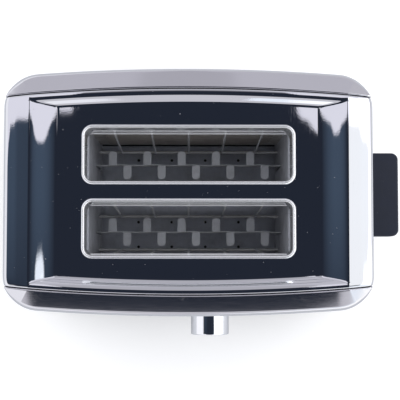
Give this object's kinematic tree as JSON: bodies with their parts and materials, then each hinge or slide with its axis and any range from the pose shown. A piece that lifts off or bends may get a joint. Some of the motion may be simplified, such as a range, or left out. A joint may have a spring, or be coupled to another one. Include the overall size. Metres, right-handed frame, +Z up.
{
  "type": "toaster",
  "caption": "Two-slot pop-up toaster: polished sheet-steel body with sunken top deck, chromed slot rings, side lever, front browning knob, hinged bread guards and slide-out crumb tray.",
  "frame": {"origin": "on the table under the middle of the whole object's length and depth, lever and knob included", "axes": "+Z up, +X towards the lever end, -Y towards the browning knob (front)"},
  "size_m": [0.295, 0.2012, 0.19],
  "materials": {
    "polished_steel": "mirror polished",
    "panel_steel": "satin polished",
    "ring_chrome": "chromed",
    "knob_chrome": "chromed",
    "black_plastic": "fine matt texture",
    "grip_plastic": "satin",
    "button_plastic": "gloss",
    "rubber": "matt",
    "galvanised_steel": "dull rolled",
    "rack_steel": "dull",
    "wire_steel": "bright drawn wire",
    "tray_steel": "dull rolled",
    "bright_steel": "ground",
    "mica": "flaky",
    "nichrome": "dull",
    "coil_copper": "enamelled",
    "white_plastic": "satin",
    "contact_brass": "plain",
    "board_green": "lacquered",
    "component_black": "plain"
  },
  "bodies": {
    "housing": {"top_cover": "polished_steel", "front_panel": "panel_steel", "back_panel": "panel_steel", "base": "black_plastic", "rubber_feet": "rubber", "slot_ring_back": "ring_chrome", "slot_ring_front": "ring_chrome", "chassis_left": "galvanised_steel", "chassis_right": "galvanised_steel", "heat_shield_back": "galvanised_steel", "heat_shield_front": "galvanised_steel", "element_board_back": "mica", "element_board_centre": "mica", "element_board_front": "mica", "element_ribbon_back": "nichrome", "element_ribbon_centre": "nichrome", "element_ribbon_front": "nichrome", "guide_rod": "bright_steel", "carriage_bumper": "rubber", "return_spring": "bright_steel", "magnet_core": "bright_steel", "magnet_coil": "coil_copper", "mains_switch": "white_plastic", "switch_contacts": "contact_brass", "control_board": "board_green", "board_posts": "contact_brass", "control_bracket": "white_plastic", "tact_switches": "component_black", "potentiometer": "component_black", "cord_inlet": "black_plastic", "terminal_block": "white_plastic", "base_screws": "bright_steel"},
    "carriage": {"carriage_plate": "galvanised_steel", "carriage_bushing": "white_plastic", "lever_arm": "galvanised_steel", "lever_grip": "grip_plastic", "armature": "bright_steel", "switch_striker": "white_plastic", "bread_rack_back": "rack_steel", "bread_rack_front": "rack_steel"},
    "browning_control": {"browning_knob": "knob_chrome", "knob_shaft": "bright_steel"},
    "tray": {"crumb_tray": "tray_steel", "tray_pull": "black_plastic"},
    "defrost": {"defrost_button": "button_plastic"},
    "reheat": {"reheat_button": "button_plastic"},
    "cancel": {"cancel_button": "button_plastic"},
    "guard_back_rear": {"bread_guard_back_rear": "wire_steel"},
    "guard_back_fore": {"bread_guard_back_fore": "wire_steel"},
    "guard_front_rear": {"bread_guard_front_rear": "wire_steel"},
    "guard_front_fore": {"bread_guard_front_fore": "wire_steel"}
  },
  "joints": [
    {"name": "lever_slide", "type": "slide", "parent": "housing", "child": "carriage", "axis": [0, 0, -1], "range_m": [0, 0.046], "stiffness_N_per_m": 80, "springref_m": -0.06, "deforming": ["return_spring"]},
    {"name": "browning_turn", "type": "hinge", "parent": "housing", "child": "browning_control", "pos_m": [0.0049, -0.09045, 0.084], "axis": [0, -1, 0], "range_deg": [-135, 135]},
    {"name": "tray_slide", "type": "slide", "parent": "housing", "child": "tray", "axis": [-1, 0, 0], "range_m": [0, 0.19]},
    {"name": "defrost_press", "type": "slide", "parent": "housing", "child": "defrost", "axis": [0, 1, 0], "range_m": [0, 0.002], "stiffness_N_per_m": 400, "springref_m": -0.001},
    {"name": "reheat_press", "type": "slide", "parent": "housing", "child": "reheat", "axis": [0, 1, 0], "range_m": [0, 0.002], "stiffness_N_per_m": 400, "springref_m": -0.001},
    {"name": "cancel_press", "type": "slide", "parent": "housing", "child": "cancel", "axis": [0, 1, 0], "range_m": [0, 0.002], "stiffness_N_per_m": 400, "springref_m": -0.001},
    {"name": "guard_back_rear_close", "type": "hinge", "parent": "housing", "child": "guard_back_rear", "pos_m": [-0.0125, 0.05065, 0.06], "axis": [1, 0, 0], "range_deg": [0, 5.61]},
    {"name": "guard_back_fore_close", "type": "hinge", "parent": "housing", "child": "guard_back_fore", "pos_m": [-0.0125, 0.02265, 0.06], "axis": [-1, 0, 0], "range_deg": [0, 5.61]},
    {"name": "guard_front_rear_close", "type": "hinge", "parent": "housing", "child": "guard_front_rear", "pos_m": [-0.0125, -0.00355, 0.06], "axis": [1, 0, 0], "range_deg": [0, 5.61]},
    {"name": "guard_front_fore_close", "type": "hinge", "parent": "housing", "child": "guard_front_fore", "pos_m": [-0.0125, -0.03155, 0.06], "axis": [-1, 0, 0], "range_deg": [0, 5.61]}
  ],
  "couplings": [
    {"joint": "guard_back_rear_close", "follows": "lever_slide", "rad_per_m": 2.1277},
    {"joint": "guard_back_fore_close", "follows": "lever_slide", "rad_per_m": 2.1277},
    {"joint": "guard_front_rear_close", "follows": "lever_slide", "rad_per_m": 2.1277},
    {"joint": "guard_front_fore_close", "follows": "lever_slide", "rad_per_m": 2.1277}
  ]
}
